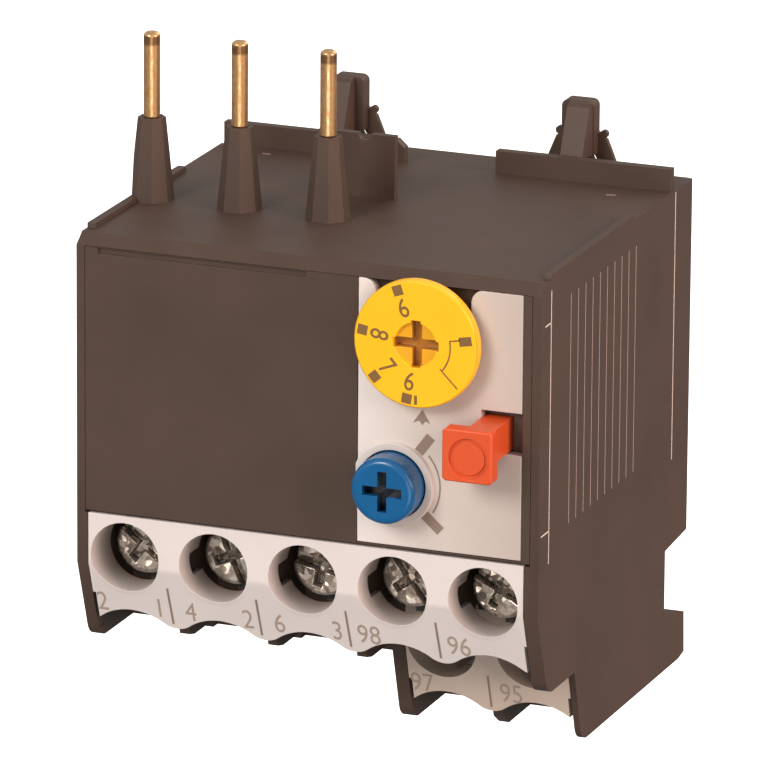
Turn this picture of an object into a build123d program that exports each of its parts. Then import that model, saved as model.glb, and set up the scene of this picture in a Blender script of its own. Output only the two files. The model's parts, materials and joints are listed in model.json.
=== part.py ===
from build123d import *
from math import atan, cos, radians, sin
import os

# Thermal overload relay that plugs into a small contactor, in millimetres.
# X runs across, Y from front to back and Z up. The origin is on the top face,
# on the centre plane, in the row of the plug pins.

# Housing
width = 45.0
depth = 40.5
top_wall = 1.6
side_wall = 1.7
body_bottom = -39.1
front_bevel_depth = 1.35
front_bevel_drop = 0.95
rear_step_height = body_bottom + 14.8
rear_step = 0.5
notch_height = body_bottom + 5.0
notch_front = depth - 6.4
foot_back = depth - 0.7
rear_edge_radius = 0.6
tip_radius = 1.9
floor_bottom = body_bottom + 12.85
floor_top = floor_bottom + 1.25
web_floor = body_bottom + 6.5
running_gap = 0.1
rear_lip_drop = 0.15
rib_height = 2.1

# Covers
cover_left = 0.85
cover_right = width - 0.86
cover_top = -1.0
cover_bottom = floor_bottom + 0.25
cover_thickness = 2.0
panel_left = width - 17.5
panel_right = width - 1.7
panel_top = -1.0
panel_bottom = cover_bottom + 0.2
panel_thickness = 1.2
ear_left = panel_left + 1.65
ear_right = panel_right - 5.0
back_cover_front = depth - 1.8
back_cover_thickness = 1.2
back_cover_edge = 0.9
back_cover_bottom = body_bottom + 5.7

# Terminals: the upper row of five and the lower row of two
terminal_first = 4.7
terminal_pitch = (width - 10.0) / 4
terminal_height = body_bottom + 8.85
lower_front = 9.6
lower_drop = 7.25
lower_height = terminal_height - lower_drop - 0.5
lower_right = width - 0.6
lower_left = lower_right - 2 * terminal_pitch + 1.6
lower_first = lower_left + terminal_pitch / 2 - 0.775
lower_wall_left = lower_left - 1.3
foot_bottom = body_bottom - lower_drop - 0.05
foot_top = foot_bottom + 5.35
plate_left = 1.12
plate_right = width - 1.42
plate_thickness = 1.2
plate_step = 0.27
knee = body_bottom + 8.04
upper_lean = 0.35
lower_lean = 0.30
tube_radius = terminal_pitch / 2 - 0.575
tube_depth = 4.7
well_radius = tube_radius - 0.44
fin_thickness = 1.0
fin_lift = 0.7
scallop_top = body_bottom + 3.45
scallop_depth = 1.45
scallop_radius = 0.5943 * terminal_pitch
chamber_depth = tube_depth + 5.9
chamber_wall = 1.2
screw_head_radius = well_radius - 0.5
screw_head_depth = tube_depth
screw_head_height = 2.0
screw_radius = screw_head_radius - 1.11
screw_end = tube_depth + 7.6
clamp_thickness = 0.8
clamp_half = tube_radius - 0.8
clamp_leg_end = tube_depth + 4.0
strip_front = tube_depth + 4.8
strip_thickness = 1.0
strip_half = clamp_half - 0.4
tapped_radius = screw_radius + 0.05

# Plug pins and their sleeves
pin_row_depth = strip_front + 4.5
pin_first = 1.55
pin_pitch = terminal_pitch - 0.05
pin_radius = 0.76
pin_tip = 15.8
shank_radius = 0.5
sleeve_top = 7.75
pin_shoulder = sleeve_top + 0.05
sleeve_base_radius = 2.1
sleeve_top_radius = 1.3
pin_tab_bottom = -3.2

# Controls on the setting panel
dial_centre = panel_right - 9.53
dial_height = -6.08
dial_radius = 5.93
dial_face = -2.0
dial_rim = 1.2
dial_shaft_radius = 2.3
reset_centre = panel_left + 3.56
reset_height = panel_bottom + 5.9
reset_radius = 3.1
reset_face = -3.1
reset_travel = 2.0
sleeve_back = 8.4
test_right = panel_right - 1.2
test_left = test_right - 4.8
test_bottom = panel_bottom + 8.15
test_top = test_bottom + 4.9
test_face = -4.4
test_head = 1.5
test_stem_left = test_left + 2.1
test_stem_right = test_right - 0.15
test_stem_bottom = test_top - 3.1
test_travel = 2.2

# Trip mechanism
phase_wall_thickness = 0.8
phase_walls = [pin_first + 4.6 + i * pin_pitch for i in range(3)]
mechanism_left = phase_walls[-1] + phase_wall_thickness
mechanism_span = width - side_wall - mechanism_left
cam_base = 2.9
cam_rise = 1.0
cam_turn = 160.0
cam_front = 2.2
cam_thickness = 1.6
bimetal_offset = 1.9
bimetal_thickness = 0.8
bimetal_width = 3.4
bimetal_bottom = floor_top + 3.5
heater_top = pin_tab_bottom - 1.4
heater_rings = 7
heater_pitch = (heater_top - bimetal_bottom - 2.2) / heater_rings
slide_front = pin_row_depth + 2.2
slide_thickness = 1.2
slide_top = floor_top + 5.1
slide_height = 3.0
slide_travel = 1.2
mechanism_wall = slide_front + 4.8
mechanism_wall_thickness = 1.2
crank_pivot = mechanism_left + 0.27 * mechanism_span
crank_arm = 8.0
crank_height = slide_top - 1.0 + crank_arm
crank_pin_radius = 0.8
post_left = mechanism_left + 0.58 * mechanism_span
post_right = post_left + 2.6
post_front = strip_front + 2.1
post_back = post_front + 3.8
no_bridge = mechanism_left + 0.458 * mechanism_span
nc_bridge = mechanism_left + 0.84 * mechanism_span
no_bridge_height = floor_top + 8.2
nc_bridge_height = floor_top + 7.8
bridge_half = 1.1
bridge_thickness = 0.4
contact_radius = 0.8
contact_height = 0.45

# Latch hooks
hook_centres = (11.0, width - 11.0)
hook_top = 6.55
hook_bottom = 1.4
hook_half = 1.6
hook_shoulder = 2.2
hook_foot = 3.5
hook_plate = 0.55
hook_post = 1.6
hook_reach = 4.4
hook_slope = 1.8
hook_wedge_half = 1.1
hook_wedge_shift = 0.4
hook_tongue_bottom = -8.0
nub_radius = 0.38
nub_height = 3.25
slot_width = 0.3
slot_length = 1.0

os.makedirs("parts", exist_ok=True)


def across(from_left):
    """X of a place this far from the left face."""
    return from_left - width / 2


def behind(from_front):
    """Y of a place this far behind the front face."""
    return from_front - pin_row_depth


def side(from_left):
    """A side-view plane; what is drawn on it is extruded to the right."""
    return Plane.YZ.offset(across(from_left))


def facing(from_front):
    """A front-view plane; what is drawn on it is extruded towards the front."""
    return Plane.XZ.offset(-behind(from_front))


def block(left, right, front, back, bottom, top, mode=Mode.ADD):
    """A square-edged block given by its six sides."""
    with Locations((across((left + right) / 2), behind((front + back) / 2), (bottom + top) / 2)):
        Box(right - left, back - front, top - bottom, mode=mode)


def rod(from_left, height, radius, front, back, mode=Mode.ADD):
    """A round bar that lies from front to back."""
    middle = (across(from_left), behind((front + back) / 2), height)
    with Locations(Location(middle, (90, 0, 0))):
        Cylinder(radius, back - front, mode=mode)


upper_wells = [terminal_first + i * terminal_pitch for i in range(5)]
lower_wells = [lower_first + i * terminal_pitch for i in range(2)]
upper_fins = [well + terminal_pitch / 2 for well in upper_wells[:-1]]
lower_fin = (lower_left + lower_right) / 2
pins = [pin_first + i * pin_pitch for i in range(3)]
bimetals = [pin + bimetal_offset for pin in pins]
main_tails = [(well - 1.6, well + 0.4) for well in upper_wells[:3]]
no_tail = (no_bridge - 2.9, no_bridge - 1.4)
nc_tail = (nc_bridge - 0.7, nc_bridge + 0.7)
gap = running_gap / 2
recess = plate_thickness + running_gap
lower_top = floor_bottom - lower_drop
no_tab_bottom = no_bridge_height + bridge_thickness / 2 + 2 * contact_height + slide_travel + 0.05
nc_tab_top = nc_bridge_height - bridge_thickness / 2 - 2 * contact_height - 0.02


def chambers(left, right, fins):
    """Left and right sides of the spaces between the fins."""
    starts = [left] + [fin + fin_thickness / 2 for fin in fins]
    ends = [fin - fin_thickness / 2 for fin in fins] + [right]
    return list(zip(starts, ends))


# Housing: one moulding with both side walls, the terminal chambers and the pin sleeves
with BuildPart() as housing:
    with BuildSketch(side(0)) as body_side:
        with BuildLine():
            low_front = upper_lean * (knee - body_bottom)
            Polyline(
                (behind(0), -front_bevel_drop),
                (behind(front_bevel_depth), 0),
                (behind(depth), 0),
                (behind(depth), rear_step_height),
                (behind(depth - rear_step), rear_step_height - 2 * rear_step),
                (behind(depth - rear_step), notch_height),
                (behind(notch_front), notch_height - rear_step),
                (behind(notch_front), body_bottom),
                (behind(low_front), body_bottom),
                (behind(0), knee),
                close=True,
            )
        make_face()
        fillet(body_side.vertices().group_by(Axis.Y)[0].sort_by(Axis.X)[0], tip_radius)
    extrude(amount=width)
    with BuildSketch(side(lower_wall_left)) as foot_side:
        with BuildLine():
            lower_knee = knee - lower_drop
            low_front = lower_front + lower_lean * (lower_knee - foot_bottom)
            Polyline(
                (behind(lower_front), lower_top),
                (behind(notch_front), lower_top),
                (behind(notch_front), foot_top),
                (behind(notch_front + 2.6), foot_top - 0.15),
                (behind(foot_back - 0.2), foot_top - 1.05),
                (behind(foot_back), foot_bottom + 0.3),
                (behind(foot_back - 1.5), foot_bottom),
                (behind(low_front), foot_bottom),
                (behind(lower_front), lower_knee),
                close=True,
            )
        make_face()
        fillet(foot_side.vertices().group_by(Axis.Y)[0].sort_by(Axis.X)[0], tip_radius)
    extrude(amount=width - lower_wall_left)
    rear_corners = housing.edges().filter_by(Axis.Z).filter_by_position(Axis.Y, behind(depth) - 0.01, behind(depth))
    fillet(rear_corners, rear_edge_radius)

    # Main cavity, the space below its floor, and the spaces behind the two rows of terminals
    inner_left, inner_right = side_wall, width - side_wall
    floor_back = mechanism_wall
    block(inner_left, inner_right, 0, back_cover_front, floor_top, -top_wall, Mode.SUBTRACT)
    block(inner_left, inner_right, floor_back, back_cover_front, floor_bottom, floor_top, Mode.SUBTRACT)
    back_wall = chamber_depth + chamber_wall
    block(inner_left, inner_right, back_wall, back_cover_front, web_floor, floor_bottom, Mode.SUBTRACT)
    lower_back_wall = back_wall + lower_front
    block(inner_left, lower_wall_left - fin_thickness, back_wall, notch_front - fin_thickness,
          body_bottom + 1.5, web_floor, Mode.SUBTRACT)
    block(lower_left, inner_right, lower_back_wall, notch_front - fin_thickness,
          foot_bottom + 1.9, web_floor, Mode.SUBTRACT)

    # Seats of the front cover and the back cover
    block(cover_left - gap, cover_right + gap, -1, cover_thickness, floor_bottom, cover_top + gap, Mode.SUBTRACT)
    block(back_cover_edge, width - back_cover_edge, back_cover_front, depth + 1,
          back_cover_bottom - gap, -back_cover_edge, Mode.SUBTRACT)

    # Upper terminal chambers, open below for the wires and in front for the cover
    block(plate_left - gap, plate_right + gap, -1, recess, knee - 0.2, floor_bottom, Mode.SUBTRACT)
    with BuildSketch(side(plate_left - gap)) as front_lean:
        with BuildLine():
            low = body_bottom + 1.0
            Polyline(
                (behind(-1), knee),
                (behind(recess), knee),
                (behind(recess + upper_lean * (knee - low)), low),
                (behind(-1), low),
                close=True,
            )
        make_face()
    extrude(amount=plate_right - plate_left + running_gap, mode=Mode.SUBTRACT)
    for left, right in chambers(plate_left, plate_right, upper_fins):
        block(left, right, 0, chamber_depth, lower_top, floor_bottom, Mode.SUBTRACT)
        chamber_back = chamber_depth if right < lower_wall_left else lower_front
        block(left, right, 0, chamber_back, body_bottom - 1, lower_top, Mode.SUBTRACT)
    block(plate_left, plate_right, 0, lower_front, body_bottom - 1, body_bottom + fin_lift, Mode.SUBTRACT)

    # Lower terminal chambers
    block(lower_left, lower_right, lower_front - 1, lower_front + recess, lower_knee - 0.2, lower_top, Mode.SUBTRACT)
    with BuildSketch(side(lower_left)) as lower_front_lean:
        with BuildLine():
            low = foot_bottom + 1.0
            Polyline(
                (behind(lower_front - 1), lower_knee),
                (behind(lower_front + recess), lower_knee),
                (behind(lower_front + recess + lower_lean * (lower_knee - low)), low),
                (behind(lower_front - 1), low),
                close=True,
            )
        make_face()
    extrude(amount=lower_right - lower_left, mode=Mode.SUBTRACT)
    for left, right in chambers(lower_left, lower_right, [lower_fin]):
        block(left, right, lower_front + plate_thickness, lower_front + chamber_depth,
              foot_bottom - 1, lower_top, Mode.SUBTRACT)

    # Clearance holes for the screw ends
    for well in upper_wells:
        rod(well, terminal_height, tapped_radius + 0.5, chamber_depth - 1, back_wall + 1, Mode.SUBTRACT)
    for well in lower_wells:
        rod(well, lower_height, tapped_radius + 0.5, lower_front + chamber_depth - 1,
            lower_back_wall + 1, Mode.SUBTRACT)

    # Walls between the phases, with the window that carries the trip slide
    for wall in phase_walls:
        block(wall, wall + phase_wall_thickness, cover_thickness, mechanism_wall, floor_top, -top_wall)
        block(wall, wall + phase_wall_thickness, slide_front - running_gap,
              slide_front + slide_thickness + running_gap, slide_top - slide_height - running_gap,
              slide_top + running_gap, Mode.SUBTRACT)
    last_wall = phase_walls[-1]
    shelf_bottom = dial_height - 2.1
    block(last_wall, mechanism_left, cover_thickness, sleeve_back + 0.4, floor_top, shelf_bottom, Mode.SUBTRACT)
    block(last_wall, inner_right, mechanism_wall, mechanism_wall + mechanism_wall_thickness, web_floor, -top_wall)

    # Shelf of the adjusting slide and guide collar of the contact carrier
    block(last_wall, dial_centre - cam_base - cam_rise - 0.4, cover_thickness + 0.3, 5.0,
          shelf_bottom, shelf_bottom + 0.8)
    block(post_left - 0.8, post_right + 0.8, post_front - 0.8, post_back + 0.8, floor_top, floor_top + 2.4)
    block(post_left - running_gap, post_right + running_gap, post_front - running_gap,
          post_back + running_gap, floor_top, floor_top + 3, Mode.SUBTRACT)

    # Slots for the tails of the terminal strips and the hole of the crank pin
    strip_back = strip_front + strip_thickness
    for left, right in main_tails + [no_tail, nc_tail]:
        block(left - gap, right + gap, strip_front - gap, strip_back + gap,
              floor_bottom - 1, floor_top + 1, Mode.SUBTRACT)
    for left, right in [no_tail, nc_tail]:
        block(left - gap, right + gap, lower_front + strip_front - gap, lower_front + strip_back + gap,
              lower_top - 0.5, floor_top + 1, Mode.SUBTRACT)
    rod(crank_pivot, crank_height, crank_pin_radius + 0.02, mechanism_wall - 1,
        mechanism_wall + mechanism_wall_thickness + 1, Mode.SUBTRACT)

    # Top face: the lower rear lip, raised side rims, two cross ribs, the locating wall and the pin sleeves
    rib_front, rib_thickness = depth - 5.9, 1.0
    block(0, width, rib_front, depth, -rear_lip_drop, 1, Mode.SUBTRACT)
    rim_width, rim_height = 0.8, 0.45
    for left in (0, width - rim_width):
        block(left, left + rim_width, 1.2 + front_bevel_depth, depth - 16.5, -0.2, rim_height)
    with BuildSketch(facing(rib_front + rib_thickness)):
        with BuildLine():
            Polyline(
                (across(0.25), -0.2),
                (across(0.25), rib_height),
                (across(17.6), rib_height),
                (across(18.4), rib_height - 0.7),
                (across(18.4), -0.2),
                close=True,
            )
        make_face()
        with BuildLine():
            Polyline(
                (across(width - 17.5), -0.2),
                (across(width - 17.5), rib_height),
                (across(width - 0.25), rib_height),
                (across(width - 0.25), -0.2),
                close=True,
            )
        make_face()
    extrude(amount=rib_thickness)
    locator_front, locator_thickness, locator_height = pin_row_depth + 8.0, 0.8, 6.0
    locator_left, locator_right = pins[-1] - 2.4, pins[-1] + 3.4
    block(locator_left, locator_right, locator_front, locator_front + locator_thickness, -0.2, locator_height)
    rod(pins[-1] + 0.4, locator_height, 0.65, locator_front - 1, locator_front + 3, Mode.SUBTRACT)
    for pin in pins:
        with BuildSketch(Plane.XY.offset(-0.2)):
            with Locations((across(pin), 0)):
                RegularPolygon(sleeve_base_radius, 8, rotation=22.5)
        with BuildSketch(Plane.XY.offset(sleeve_top)):
            with Locations((across(pin), 0)):
                RegularPolygon(sleeve_top_radius, 8, rotation=22.5)
        loft()
    block(-5, 0, 0, depth, -1, sleeve_top + 1, Mode.SUBTRACT)
    with Locations(*[(across(pin), 0, 0) for pin in pins]):
        Cylinder(shank_radius + 0.02, 40, mode=Mode.SUBTRACT)

    # Slots in the rear lip for the tongues of the latch hooks
    for centre in hook_centres:
        block(centre - hook_shoulder - running_gap, centre + hook_shoulder + running_gap,
              depth - hook_plate - gap, depth + 1, -2, 1, Mode.SUBTRACT)
housing.part.label = "housing"
export_step(housing.part, "parts/housing.step")

# Front cover: the dark plate with the pocket of the setting panel and the guides of the buttons
with BuildPart() as front_cover:
    block(cover_left, cover_right, 0, cover_thickness, cover_bottom, cover_top)
    block(panel_left - gap, panel_right + gap, -1, panel_thickness, panel_bottom - gap, 0, Mode.SUBTRACT)
    block(2.1, 22.4, -1, 0.3, -1.6, -1.05, Mode.SUBTRACT)
    reset_guide_radius = reset_radius + 1.1
    guide_wall = 0.8
    rod(reset_centre, reset_height, reset_guide_radius + guide_wall, cover_thickness, 6.0)
    rod(reset_centre, reset_height, reset_guide_radius, cover_thickness, 7.0, Mode.SUBTRACT)
    rod(reset_centre, reset_height, reset_radius + running_gap, 0, 3.0, Mode.SUBTRACT)
    rod(dial_centre, dial_height, dial_shaft_radius + running_gap, 0, 3.0, Mode.SUBTRACT)
    guide_back = strip_front - 1.6
    block(test_stem_left - 0.7, test_stem_right + 0.7, cover_thickness, guide_back + guide_wall,
          test_stem_bottom - 0.7, test_top + 0.7)
    block(test_stem_left - running_gap, test_stem_right + running_gap, 0, guide_back,
          test_stem_bottom - running_gap, test_top + running_gap, Mode.SUBTRACT)
    rod((test_stem_left + test_stem_right) / 2, (test_stem_bottom + test_top) / 2, 0.8,
        guide_back - 1, guide_back + 2, Mode.SUBTRACT)
front_cover.part.label = "front_cover"
export_step(front_cover.part, "parts/front_cover.step")

# Setting panel: the light inlay with two ears beside the dial and the collar of the reset button
with BuildPart() as setting_panel:
    with BuildSketch(facing(panel_thickness)) as panel_face:
        with BuildLine():
            Polyline(
                (across(panel_left), panel_bottom),
                (across(panel_left), panel_top),
                (across(ear_left), panel_top),
                (across(ear_left), dial_height),
                (across(ear_right), dial_height),
                (across(ear_right), panel_top),
                (across(panel_right), panel_top),
                (across(panel_right), panel_bottom),
                close=True,
            )
        make_face()
        ear_tips = panel_face.vertices().group_by(Axis.Y)[-1]
        fillet(ear_tips.sort_by(Axis.X)[1:3], 1.2)
    extrude(amount=panel_thickness)
    rod(reset_centre, reset_height, reset_radius + 0.8, -0.5, 0)
    block(panel_left - 2, panel_left, -1, 1, panel_bottom, panel_top, Mode.SUBTRACT)
    rod(reset_centre, reset_height, reset_radius + running_gap, -1, 3, Mode.SUBTRACT)
    rod(dial_centre, dial_height, dial_shaft_radius + 0.2, -1, 3, Mode.SUBTRACT)
    block(test_stem_left - 0.03, panel_right + 1, -1, 3, test_stem_bottom - running_gap,
          test_top + 0.7, Mode.SUBTRACT)
setting_panel.part.label = "setting_panel"
export_step(setting_panel.part, "parts/setting_panel.step")


def scalloped_cover(wells, left, right, front, height, drop, lean):
    """A light terminal cover: a bent plate with a tube round each screw and a wavy lower edge."""
    top = floor_bottom - drop
    bend = knee - drop
    low = body_bottom - drop + 1.0
    turn = 2 * atan(2 * scallop_depth / terminal_pitch)
    join = scallop_radius * sin(turn)
    crest = scallop_top - drop
    join_height = crest - scallop_radius * (1 - cos(turn))
    with BuildPart() as cover:
        with BuildSketch(side(left)):
            with BuildLine():
                Polyline(
                    (behind(front), top),
                    (behind(front), bend),
                    (behind(front + lean * (bend - low)), low),
                    (behind(front + lean * (bend - low) + plate_thickness), low),
                    (behind(front + plate_thickness), bend),
                    (behind(front + plate_thickness), top),
                    close=True,
                )
            make_face()
        extrude(amount=right - left)
        for well in wells:
            rod(well, height, tube_radius, front, front + tube_depth)
        block(left - 5, left, front - 1, front + tube_depth + 1, low, top, Mode.SUBTRACT)
        block(right, right + 5, front - 1, front + tube_depth + 1, low, top, Mode.SUBTRACT)
        with BuildSketch(side(left)):
            with BuildLine():
                Polyline(
                    (behind(front - 1), bend),
                    (behind(front), bend),
                    (behind(front + lean * (bend - low)), low),
                    (behind(front - 1), low),
                    close=True,
                )
            make_face()
        extrude(amount=right - left, mode=Mode.SUBTRACT)
        for well in wells:
            rod(well, height, well_radius, front - 1, front + tube_depth + 1, Mode.SUBTRACT)
        for well in wells[1:]:
            block(well - tube_radius - 0.2, well - well_radius + 0.96, front + 2.5, front + tube_depth + 1,
                  height - 1.6, height + 0.4, Mode.SUBTRACT)
        for edge in (left, right - plate_step):
            block(edge, edge + plate_step, front - 1, front + tube_depth + 1, low, height - 3.95, Mode.SUBTRACT)
        with BuildSketch(facing(front + tube_depth)):
            with BuildLine():
                first = wells[0] - terminal_pitch
                last = wells[-1] + terminal_pitch
                for i in range(len(wells) + 2):
                    middle = first + i * terminal_pitch
                    ThreePointArc(
                        (across(middle - join), join_height),
                        (across(middle), crest),
                        (across(middle + join), join_height),
                    )
                    if middle < last - 0.1:
                        ThreePointArc(
                            (across(middle + join), join_height),
                            (across(middle + terminal_pitch / 2), crest - scallop_depth),
                            (across(middle + terminal_pitch - join), join_height),
                        )
                Polyline(
                    (across(last + join), join_height),
                    (across(last + join), low - 5),
                    (across(first - join), low - 5),
                    (across(first - join), join_height),
                )
            make_face()
        extrude(amount=tube_depth + 5, mode=Mode.SUBTRACT)
    return cover.part


upper_terminal_cover = scalloped_cover(
    upper_wells, plate_left, plate_right, 0, terminal_height, 0, upper_lean)
upper_terminal_cover.label = "upper_terminal_cover"
export_step(upper_terminal_cover, "parts/upper_terminal_cover.step")
lower_terminal_cover = scalloped_cover(
    lower_wells, lower_left + gap, lower_right - gap, lower_front, lower_height, lower_drop, lower_lean)
lower_terminal_cover.label = "lower_terminal_cover"
export_step(lower_terminal_cover, "parts/lower_terminal_cover.step")

# Back cover: the plate that closes the rear, with rounded corners
with BuildPart() as back_cover:
    with BuildSketch(facing(back_cover_front + back_cover_thickness)):
        inset = back_cover_edge + gap
        tall = -back_cover_bottom - inset
        with Locations((0, back_cover_bottom + tall / 2)):
            RectangleRounded(width - 2 * inset, tall, 0.4)
    extrude(amount=back_cover_thickness)
back_cover.part.label = "back_cover"
export_step(back_cover.part, "parts/back_cover.step")

# Latch hooks: a springy tongue in the back cover with two legs, which ends in a post and a wedge
for name, centre, outer in (("left_hook", hook_centres[0], -1), ("right_hook", hook_centres[1], 1)):
    with BuildPart() as hook:
        outline = [
            (hook_shoulder, hook_tongue_bottom),
            (hook_shoulder, 0.02),
            (hook_foot, 0.02),
            (hook_foot - 0.2, 0.8),
            (hook_foot - 0.6, 1.8),
            (hook_shoulder + 0.3, nub_height - 0.5),
            (hook_half, nub_height + 0.2),
        ]
        with BuildSketch(facing(depth)):
            with BuildLine():
                Polyline(
                    *[(across(centre + out), height) for out, height in outline],
                    *[(across(centre - out), height) for out, height in reversed(outline)],
                    close=True,
                )
            make_face()
            with Locations((across(centre - hook_shoulder), nub_height), (across(centre + hook_shoulder), nub_height)):
                Circle(nub_radius)
            for turn in (-1, 1):
                with Locations((across(centre + turn * (hook_half - 0.2)), hook_bottom - 0.6)):
                    Rectangle(slot_width, slot_length, rotation=30 * turn, mode=Mode.SUBTRACT)
        extrude(amount=hook_plate)
        with BuildSketch(facing(depth)) as post_face:
            with Locations((across(centre), (hook_bottom + hook_top) / 2)):
                Rectangle(2 * hook_half, hook_top - hook_bottom)
            fillet(post_face.vertices().group_by(Axis.Y)[-1], 0.6)
        extrude(amount=hook_post)
        tip = depth - hook_reach
        with BuildSketch(side(centre + outer * hook_wedge_shift - hook_wedge_half)):
            with BuildLine():
                Polyline(
                    (behind(tip), hook_bottom + 0.5),
                    (behind(tip + hook_slope), hook_top - 0.35),
                    (behind(tip + hook_slope + 0.5), hook_top - 0.05),
                    (behind(depth - hook_post), hook_top - 0.05),
                    (behind(depth - hook_post), hook_bottom),
                    (behind(depth - hook_post - 0.5), hook_bottom),
                    close=True,
                )
            make_face()
        extrude(amount=2 * hook_wedge_half)
    hook.part.label = name
    export_step(hook.part, f"parts/{name}.step")

# Plug pins: a brass rod with a chamfered tip and an inner tab that carries the bimetal
for number, pin in enumerate(pins, 1):
    with BuildPart() as plug_pin:
        with BuildSketch(Plane.XY.offset(-top_wall - 0.1)):
            with Locations((across(pin), 0)):
                Circle(shank_radius)
        extrude(amount=pin_shoulder + top_wall + 0.1)
        with BuildSketch(Plane.XY.offset(pin_shoulder)):
            with Locations((across(pin), 0)):
                Circle(pin_radius)
        extrude(amount=pin_tip - pin_shoulder)
        chamfer(plug_pin.edges().group_by(Axis.Z)[-1], 0.25)
        block(pin + 0.25, pin + bimetal_offset + 0.7, pin_row_depth - 1, pin_row_depth + 1,
              pin_tab_bottom, -top_wall - 0.1)
    plug_pin.part.label = f"plug_pin_{number}"
    export_step(plug_pin.part, f"parts/plug_pin_{number}.step")

# Bimetal strips, each hanging from the tab of its pin
for number, strip in enumerate(bimetals, 1):
    with BuildPart() as bimetal:
        block(strip - bimetal_thickness / 2, strip + bimetal_thickness / 2,
              pin_row_depth - bimetal_width / 2, pin_row_depth + bimetal_width / 2,
              bimetal_bottom, pin_tab_bottom)
    bimetal.part.label = f"bimetal_{number}"
    export_step(bimetal.part, f"parts/bimetal_{number}.step")

# Heater windings: flat turns round the bimetal, joined by a riser and led to the terminal strip
heater_half = bimetal_thickness / 2 + 0.9
heater_front = pin_row_depth - bimetal_width / 2 - 0.8
heater_back = pin_row_depth + bimetal_width / 2 + 0.3
for number, strip in enumerate(bimetals, 1):
    with BuildPart() as heater:
        for i in range(heater_rings):
            turn_top = heater_top - i * heater_pitch
            block(strip - heater_half, strip + heater_half, heater_front, heater_back, turn_top - 0.7, turn_top)
        block(strip - heater_half + 0.45, strip + heater_half - 0.45, heater_front + 0.45, heater_back - 0.15,
              bimetal_bottom, heater_top + 1, Mode.SUBTRACT)
        last_turn = heater_top - (heater_rings - 1) * heater_pitch
        block(strip - 0.5, strip + 0.5, heater_front, heater_front + 0.4, last_turn - 0.7, heater_top)
        block(strip - 0.5, strip + 0.5, strip_front + strip_thickness, heater_front, last_turn - 2.2, last_turn)
    heater.part.label = f"heater_{number}"
    export_step(heater.part, f"parts/heater_{number}.step")


def terminal_strip(well, front, height, tail, tail_top):
    """A strip with the tapped hole of its screw and a tail that goes up into the mechanism."""
    with BuildPart() as strip:
        block(well - strip_half, well + strip_half, front, front + strip_thickness, height - 2.95, height + 3.6)
        block(tail[0], tail[1], front, front + strip_thickness, height + 3, tail_top)
        rod(well, height, tapped_radius, front - 1, front + strip_thickness + 1, Mode.SUBTRACT)
    return strip.part


# Main terminals, one under each phase
tail_end = heater_top - (heater_rings - 1) * heater_pitch - 0.2
for number, well in enumerate(upper_wells[:3], 1):
    main_terminal = terminal_strip(well, strip_front, terminal_height, main_tails[number - 1], tail_end)
    main_terminal.label = f"main_terminal_{number}"
    export_step(main_terminal, f"parts/main_terminal_{number}.step")

# Terminals of the normally open contact, with their fixed contacts above the bridge
for name, well, front, height in (
    ("no_terminal_upper", upper_wells[3], strip_front, terminal_height),
    ("no_terminal_lower", lower_wells[0], lower_front + strip_front, lower_height),
):
    strip = terminal_strip(well, front, height, no_tail, no_tab_bottom + 0.5)
    with BuildPart() as no_terminal:
        add(strip)
        block(no_tail[0], no_bridge + 1.0, front - 0.4, front + strip_thickness + 0.4,
              no_tab_bottom, no_tab_bottom + 0.5)
        with Locations((across(no_bridge), behind(front + 0.5), no_tab_bottom)):
            Cylinder(contact_radius, contact_height, align=(Align.CENTER, Align.CENTER, Align.MAX))
    no_terminal.part.label = name
    export_step(no_terminal.part, f"parts/{name}.step")

# Terminals of the normally closed contact, with their fixed contacts under the bridge
for name, well, front, height in (
    ("nc_terminal_upper", upper_wells[4], strip_front, terminal_height),
    ("nc_terminal_lower", lower_wells[1], lower_front + strip_front, lower_height),
):
    strip = terminal_strip(well, front, height, nc_tail, nc_tab_top)
    with BuildPart() as nc_terminal:
        add(strip)
        block(nc_bridge - 1.1, nc_bridge + 1.1, front - 0.4, front + strip_thickness + 0.4,
              nc_tab_top - 0.5, nc_tab_top)
        with Locations((across(nc_bridge), behind(front + 0.5), nc_tab_top)):
            Cylinder(contact_radius, contact_height, align=(Align.CENTER, Align.CENTER, Align.MIN))
    nc_terminal.part.label = name
    export_step(nc_terminal.part, f"parts/{name}.step")

# Crank pin, fixed in the mechanism wall
with BuildPart() as crank_pin:
    rod(crank_pivot, crank_height, crank_pin_radius, slide_front - 0.4, mechanism_wall + mechanism_wall_thickness)
crank_pin.part.label = "crank_pin"
export_step(crank_pin.part, "parts/crank_pin.step")

# Setting dial: a round face with a dished screwdriver slot, on a stepped shaft
with BuildPart() as setting_dial:
    rod(dial_centre, dial_height, dial_radius, dial_face, dial_face + dial_rim)
    chamfer(setting_dial.edges(), 0.12)
    rod(dial_centre, dial_height, 3.6, dial_face + dial_rim, -0.05)
    rod(dial_centre, dial_height, dial_shaft_radius, -0.05, cam_front)
    rod(dial_centre, dial_height, 1.6, cam_front, cam_front + cam_thickness)
    rod(dial_centre, dial_height, 2.0, dial_face - 1, dial_face + 0.4, Mode.SUBTRACT)
    for wide, tall in ((4.4, 0.9), (0.9, 4.4)):
        block(dial_centre - wide / 2, dial_centre + wide / 2, dial_face - 1, dial_face + 1.3,
              dial_height - tall / 2, dial_height + tall / 2, Mode.SUBTRACT)
setting_dial.part.label = "setting_dial"
export_step(setting_dial.part, "parts/setting_dial.step")

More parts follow.
